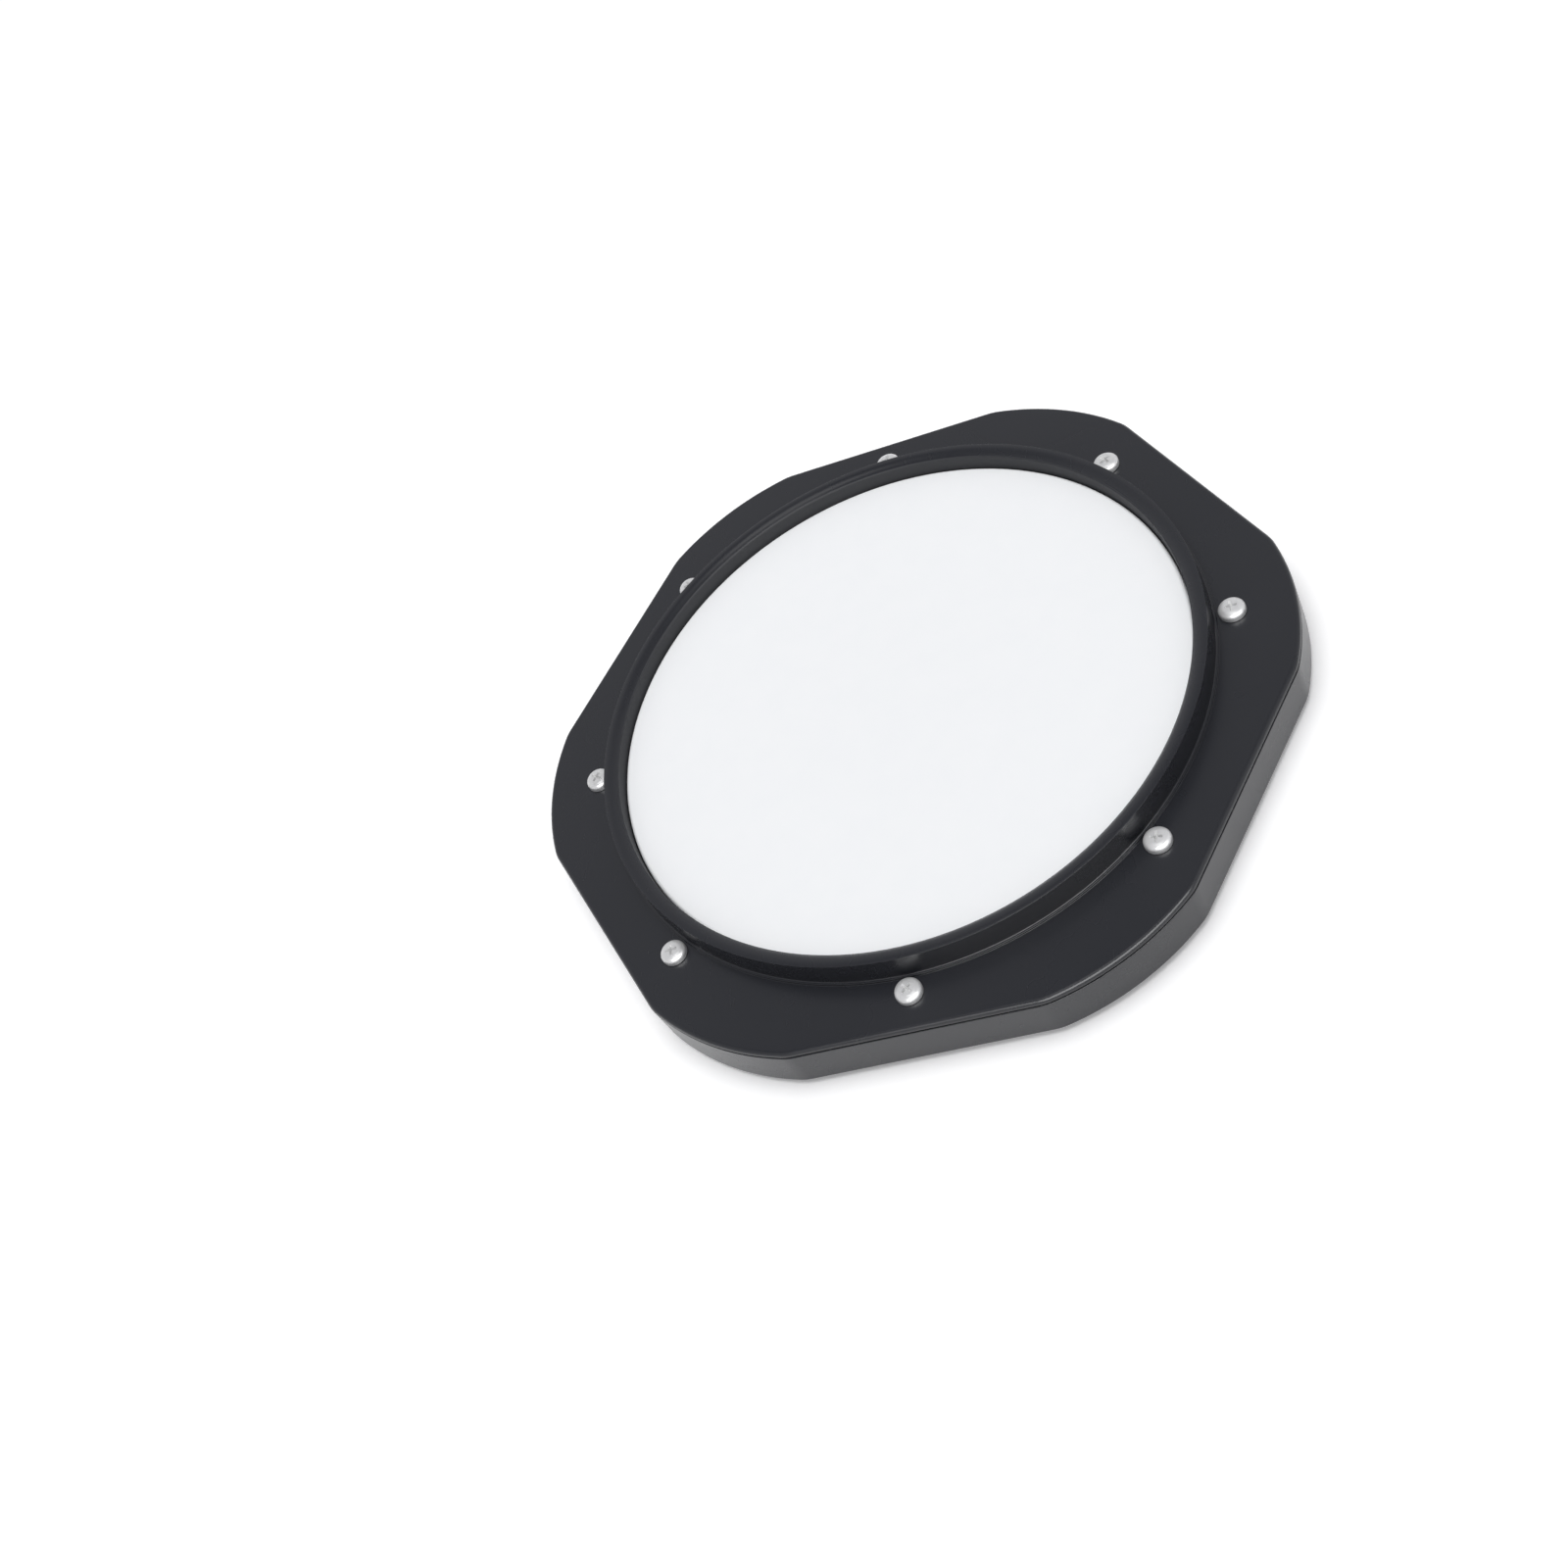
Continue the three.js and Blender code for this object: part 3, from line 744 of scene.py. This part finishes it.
def coated_head():
    """The film: a flat disc, a rounded shoulder, and a collar that runs down into the hoop's slot."""
    under = HEAD_TOP - FILM_THICKNESS
    collar_inner = COLLAR - FILM_THICKNESS
    foot_inner = FILM_HIGH.x - FILM_THICKNESS
    profile = rounded([
        (0, HEAD_TOP, 0),
        (COLLAR, HEAD_TOP, 1.5 * MM),
        (COLLAR, COLLAR_BEND, 2 * MM),
        (FILM_HIGH.x, HOOP_HIGH.z, 1 * MM),
        (FILM_HIGH.x, FILM_LOW.z, 0.1 * MM),
        (foot_inner, FILM_LOW.z, 0.1 * MM),
        (foot_inner, HOOP_HIGH.z, 1 * MM),
        (collar_inner, COLLAR_BEND, 2 * MM),
        (collar_inner, under, 1.2 * MM),
        (0, under, 0),
    ], steps=8)
    flat_steps = 12
    flat = [Vector((profile[1].x * step / flat_steps, HEAD_TOP)) for step in range(flat_steps)]
    back = [Vector((point.x, under)) for point in reversed(flat)]
    head = as_object("coated_head", turned([*flat, *profile[1:-1], *back]))
    return fitted(shaded(head, FILM), "base", "coated_film", "drumhead_film")


def head_hoop():
    """The hoop: a drawn channel, open at the top, that grips the film's edge."""
    profile = rounded([
        (HOOP_HIGH.x - HOOP_WIDTH, HOOP_LOW.z, 0.25 * MM),
        (HOOP_HIGH.x, HOOP_LOW.z, 0.6 * MM),
        (HOOP_HIGH.x, HOOP_HIGH.z, 0.3 * MM),
        (SLOT_OUTER, HOOP_HIGH.z, 0.2 * MM),
        (SLOT_OUTER, SLOT_FLOOR, 0.25 * MM),
        (SLOT_INNER, SLOT_FLOOR, 0.25 * MM),
        (SLOT_INNER, HOOP_HIGH.z, 0.15 * MM),
        (HOOP_HIGH.x - HOOP_WIDTH, HOOP_HIGH.z, 0.15 * MM),
    ], closed=True, steps=4)
    hoop = as_object("head_hoop", turned(profile, closed=True))
    return fitted(shaded(hoop, ALUMINIUM), "base", "hoop_aluminium", "flesh_hoop")


def foam_disc():
    """The foam disc: die-cut, so its side pulls in a little at half height, with uneven faces."""
    radius = FOAM_HIGH.x
    low, high = FOAM_LOW.z, FOAM_HIGH.z
    side_steps, face_steps = 12, 40
    pull = 0.7 * MM
    edge = 0.5 * MM
    side = []
    for step in range(side_steps + 1):
        share = step / side_steps
        side.append(Vector((radius - pull * sin(pi * share), low + edge + (high - low - 2 * edge) * share)))
    face = [(radius - edge) * step / face_steps for step in range(face_steps + 1)]
    profile = [
        *[Vector((across, low)) for across in face],
        *side,
        *[Vector((across, high)) for across in reversed(face)],
    ]
    foam = as_object("foam_disc", turned(profile, 144))
    for vertex in foam.data.vertices:
        place = vertex.co
        inwards = Vector((-place.x, -place.y, (low + high) / 2 - place.z))
        swell = 0.22 * MM * (1 + noise.noise(place / (9 * MM)))
        depth = swell + 0.08 * MM * (1 + noise.noise(place / (2.5 * MM)))
        if place.z > high - edge or place.z < low + edge:
            place.z += depth if inwards.z > 0 else -depth
        else:
            place += Vector((inwards.x, inwards.y, 0)).normalized() * depth
    fitted(shaded(foam, FOAM, angle=60), "base", "foam", "foam_core")
    return foam


# ---------------------------------------------------------------------------
# Screws and nuts
# ---------------------------------------------------------------------------


def thread(crest, root, bottom, top, segments=28):
    """A right-handed thread about the Z axis, closed at both ends, that fades out at each."""
    steps_per_turn = 8
    heights = ceil((top - bottom) / THREAD_PITCH + 2) * steps_per_turn
    fade = 0.7 * MM
    rows = []
    for step in range(heights):
        row = []
        for i in range(segments + 1):
            height = bottom + THREAD_PITCH * (step / steps_per_turn - 1 + i / segments)
            height = min(max(height, bottom), top)
            place = step % steps_per_turn / steps_per_turn
            ridge = min(1, max(0, 1.5 - abs(place - 0.5) * 4))
            depth = min(1, (height - bottom) / fade, (top - height) / fade)
            row.append(polar(root + (crest - root) * ridge * depth, 2 * pi * i / segments, height))
        rows.append(row)
    shape = bmesh.new()
    grid = [[shape.verts.new(point) for point in row] for row in rows]
    for low, high in zip(grid, grid[1:]):
        for i in range(segments):
            shape.faces.new((low[i], low[i + 1], high[i + 1], high[i]))
    bmesh.ops.remove_doubles(shape, verts=shape.verts, dist=TINY)
    bmesh.ops.dissolve_degenerate(shape, edges=shape.edges, dist=TINY)
    edges = [edge for edge in shape.edges if edge.is_boundary]
    bmesh.ops.holes_fill(shape, edges=edges, sides=0)
    bmesh.ops.recalc_face_normals(shape, faces=shape.faces)
    return shape


def recess_wing(turn):
    """The cutter for one slot of a screw's cross recess. It tapers towards its floor, and reaches above."""
    above = 1.5 * MM
    floor_share = 0.55
    top_share = 1 + (1 - floor_share) * above / RECESS_DEPTH
    wing = bmesh.new()
    levels = []
    for share, height in ((floor_share, -RECESS_DEPTH), (top_share, above)):
        long, thick = RECESS_WIDTH * share / 2, RECESS_BLADE * share / 2
        flat = ((-long, -thick), (long, -thick), (long, thick), (-long, thick))
        levels.append([wing.verts.new((*corner, height)) for corner in flat])
    low, high = levels
    wing.faces.new(low)
    wing.faces.new(high)
    for i in range(len(low)):
        wing.faces.new((low[i - 1], low[i], high[i], high[i - 1]))
    bmesh.ops.recalc_face_normals(wing, faces=wing.faces)
    return placed(wing, Matrix.Translation((0, 0, HEAD_HEIGHT)) @ Matrix.Rotation(turn, 4, "Z"))


def screw_body():
    """A pan-head screw about its own axis, with Z = 0 at the seat under its head."""
    shoulder = 1.3 * MM
    crown = 0.12 * MM
    neck = 1 * MM
    dome = rounded([
        (THREAD_ROOT / 2, -neck, 0),
        (THREAD_CREST, -neck, 0),
        (THREAD_CREST, 0, 0.2 * MM),
        (HEAD_RADIUS, 0, 0.25 * MM),
        (HEAD_RADIUS, shoulder, 0),
    ], steps=3)
    dome_steps = 14
    flat_share = 0.45
    for step in range(1, dome_steps + 1):
        swing = pi / 2 * step / dome_steps
        across = HEAD_RADIUS * (flat_share + (1 - flat_share) * cos(swing))
        up = shoulder + (HEAD_HEIGHT - crown - shoulder) * sin(swing)
        dome.append(Vector((across, up)))
    dome.append(Vector((HEAD_RADIUS * flat_share / 2, HEAD_HEIGHT - crown / 4)))
    dome.append(Vector((0, HEAD_HEIGHT)))
    dome.insert(0, Vector((0, -neck)))
    screw = as_object("screw_body", turned(dome, SMALL_ROUND))
    thread_top = -0.8 * MM
    combine(screw, thread(THREAD_CREST, THREAD_ROOT, -SCREW_LENGTH, thread_top), "UNION")
    for turn in (0, pi / 2):
        combine(screw, recess_wing(turn), "DIFFERENCE")
    return shaded(screw, STEEL, angle=32)


def nut_body():
    """A hex nut about its own axis, with Z = 0 at its lower face."""
    height = NUT_HIGH.z - NUT_LOW.z
    flat = NUT_ACROSS_FLATS / 2
    corner = flat / cos(pi / HEX_SIDES)
    nut = as_object("nut_body", prism(corner, 0, height, HEX_SIDES))
    face = flat - 0.05 * MM
    reach = corner + 0.2 * MM
    drop = (reach - flat) * tan(radians(30))
    dressed = [
        (0, 0),
        (face, 0),
        (reach, drop),
        (reach, height - drop),
        (face, height),
        (0, height),
    ]
    combine(nut, turned(dressed, SMALL_ROUND * 2), "INTERSECT")
    bore = THREAD_CREST + 0.12 * MM
    thread_depth = 0.35 * MM
    combine(nut, thread(bore + thread_depth, bore, -OVERLAP, height + OVERLAP), "DIFFERENCE")
    mouth_depth, above = 0.45 * MM, 0.5 * MM
    for end, inwards in ((0, 1), (height, -1)):
        mouth = [
            (0, end - inwards * above),
            (bore + mouth_depth + above, end - inwards * above),
            (bore, end + inwards * mouth_depth),
            (0, end + inwards * mouth_depth),
        ]
        combine(nut, turned(mouth, SMALL_ROUND), "DIFFERENCE")
    return shaded(nut, ZINC, angle=28)


def copy_of(thing, name, place):
    """A copy of a piece at another place, with a mesh of its own."""
    twin = bpy.data.objects.new(name, thing.data.copy())
    twin.matrix_world = place
    bpy.context.scene.collection.objects.link(twin)
    return twin


def screws_and_nuts():
    """Eight screws through the rim, each turned a little further than the last, and the nut under each."""
    screw, nut = screw_body(), nut_body()
    for i, angle in enumerate(even_angles(SCREW_COUNT)):
        number = i + 1
        seat = Matrix.Translation(polar(SCREW_CIRCLE, angle, SCREW_SEAT))
        seat = seat @ Matrix.Rotation(i * SCREW_TURN, 4, "Z")
        pan_head = copy_of(screw, f"pan_head_screw_{number}", seat)
        fitted(pan_head, f"screw_{number}", "screw_steel", f"tension_screw_{number}")
        pocket = out_and_round(SCREW_CIRCLE, angle, NUT_LOW.z)
        hex_nut = copy_of(nut, f"hex_nut_{number}", pocket)
        fitted(hex_nut, "base", "nut_steel", f"captive_nut_{number}")
    bpy.data.objects.remove(screw)
    bpy.data.objects.remove(nut)


# ---------------------------------------------------------------------------
# Feet
# ---------------------------------------------------------------------------


def foot_body():
    """A rubber button with grip rings round its sole, about its own axis, standing on Z = 0."""
    radius = (FOOT_HIGH.x - FOOT_LOW.x) / 2
    top = FOOT_HIGH.z
    groove = 0.35 * MM
    corners = [(0, 0.5 * MM, 0), (1.3 * MM, 0.5 * MM, 0.2 * MM), (1.6 * MM, 0, 0.15 * MM)]
    for ring in (3.2 * MM, 5.0 * MM):
        corners += [
            (ring - 0.45 * MM, 0, 0.12 * MM),
            (ring - 0.25 * MM, groove, 0.1 * MM),
            (ring + 0.25 * MM, groove, 0.1 * MM),
            (ring + 0.45 * MM, 0, 0.12 * MM),
        ]
    corners += [
        (radius - 0.5 * MM, 0, 0.4 * MM),
        (radius, 0.9 * MM, 0.5 * MM),
        (radius, top, 0.25 * MM),
        (0, top, 0),
    ]
    foot = as_object("foot_body", turned(rounded(corners, steps=3), 64))
    return shaded(foot, RUBBER, angle=50)


def feet():
    """A foot in each recess under the lobes."""
    foot = foot_body()
    for i, angle in enumerate(even_angles(FOOT_COUNT)):
        number = i + 1
        button = copy_of(foot, f"grip_foot_{number}", out_and_round(FOOT_CIRCLE, angle))
        fitted(button, "base", "foot_rubber", f"rubber_foot_{number}")
    bpy.data.objects.remove(foot)


# ---------------------------------------------------------------------------
# Stage, light and camera
# ---------------------------------------------------------------------------


def floor():
    """A plain white floor at the feet's soles."""
    size = 30
    shape = bmesh.new()
    corners = [shape.verts.new((x * size, y * size, 0)) for x, y in ((-1, -1), (1, -1), (1, 1), (-1, 1))]
    shape.faces.new(corners)
    ground = as_object("floor", shape)
    finish = Finish("studio_floor", Roughness=0.9, Specular_IOR_Level=0.1)
    finish.shader.inputs["Base Color"].default_value = (0.95, 0.95, 0.95, 1)
    finish.shader.inputs["Emission Color"].default_value = (1, 1, 1, 1)
    finish.shader.inputs["Emission Strength"].default_value = 0.2
    ground.data.materials.append(finish.material)


def lamp(name, shape, sizes, radiance, place):
    """A soft light that faces the pad from a place, seen by everything but the camera."""
    light = bpy.data.lights.new(name, "AREA")
    light.shape = shape
    light.size, light.size_y = sizes
    area = sizes[0] * sizes[1] * (pi / 4 if shape == "ELLIPSE" else 1)
    light.energy = radiance * pi * area
    source = bpy.data.objects.new(name, light)
    facing = place.to_track_quat("Z", "Y").to_matrix().to_4x4()
    source.matrix_world = Matrix.Translation(place) @ facing
    source.visible_camera = False
    bpy.context.scene.collection.objects.link(source)
    return source


def studio():
    """A pale room with a darker ceiling, a broad light overhead, and a wall of light behind the camera."""
    world = bpy.data.worlds.new("studio")
    bpy.context.scene.world = world
    world.use_nodes = True
    tree = world.node_tree
    direction = tree.nodes.new("ShaderNodeTexCoord").outputs["Generated"]
    split = tree.nodes.new("ShaderNodeSeparateXYZ")
    tree.links.new(direction, split.inputs[0])
    ramp = tree.nodes.new("ShaderNodeValToRGB")
    tree.links.new(split.outputs["Z"], ramp.inputs[0])
    elements = ramp.color_ramp.elements
    elements[0].position, elements[0].color = 0.3, (0.50, 0.50, 0.515, 1)
    elements[1].position, elements[1].color = 1.0, (1.5, 1.5, 1.5, 1)
    for height, grey in ((0.66, 0.44), (0.78, 0.38), (0.88, 0.12), (0.965, 0.12), (0.982, 1.5)):
        elements.new(height).color = (grey, grey, grey + 0.015, 1)
    tree.links.new(ramp.outputs[0], tree.nodes["Background"].inputs["Color"])

    reach = 3
    overhead = lamp("overhead", "ELLIPSE", (2.4, 2.4), 4.25, Vector((0, 0, reach)))
    overhead.visible_glossy = False
    wall_height = radians(40)
    wall_place = polar(reach * cos(wall_height), CAMERA_BEARING, reach * sin(wall_height))
    wall = lamp("light_wall", "RECTANGLE", (4.0, 1.7), 5.5, wall_place)
    wall.visible_diffuse = False


def camera():
    """The camera, turned about its line of sight so that the pad lies across the frame at a slant."""
    elevation, roll = radians(46.88), radians(-36.0)
    distance = 662 * MM
    aside, lift = 46.2 * MM, 18.0 * MM
    back = polar(cos(elevation), CAMERA_BEARING, sin(elevation))
    level = polar(1, CAMERA_BEARING + pi / 2)
    rise = back.cross(level)
    right = level * cos(roll) + rise * sin(roll)
    up = rise * cos(roll) - level * sin(roll)
    eye = bpy.data.objects.new("camera", bpy.data.cameras.new("camera"))
    bpy.context.scene.collection.objects.link(eye)
    place = Matrix((right, up, back)).transposed().to_4x4()
    place.translation = back * distance - right * aside - up * lift + Vector((0, 0, BASE_BOTTOM))
    eye.matrix_world = place
    eye.data.sensor_width = 36
    eye.data.lens = 43.84
    bpy.context.scene.camera = eye
    bpy.context.scene.view_settings.view_transform = "Standard"


moulded_rim()
moulded_base()
coated_head()
head_hoop()
foam_disc()
screws_and_nuts()
feet()
floor()
studio()
camera()
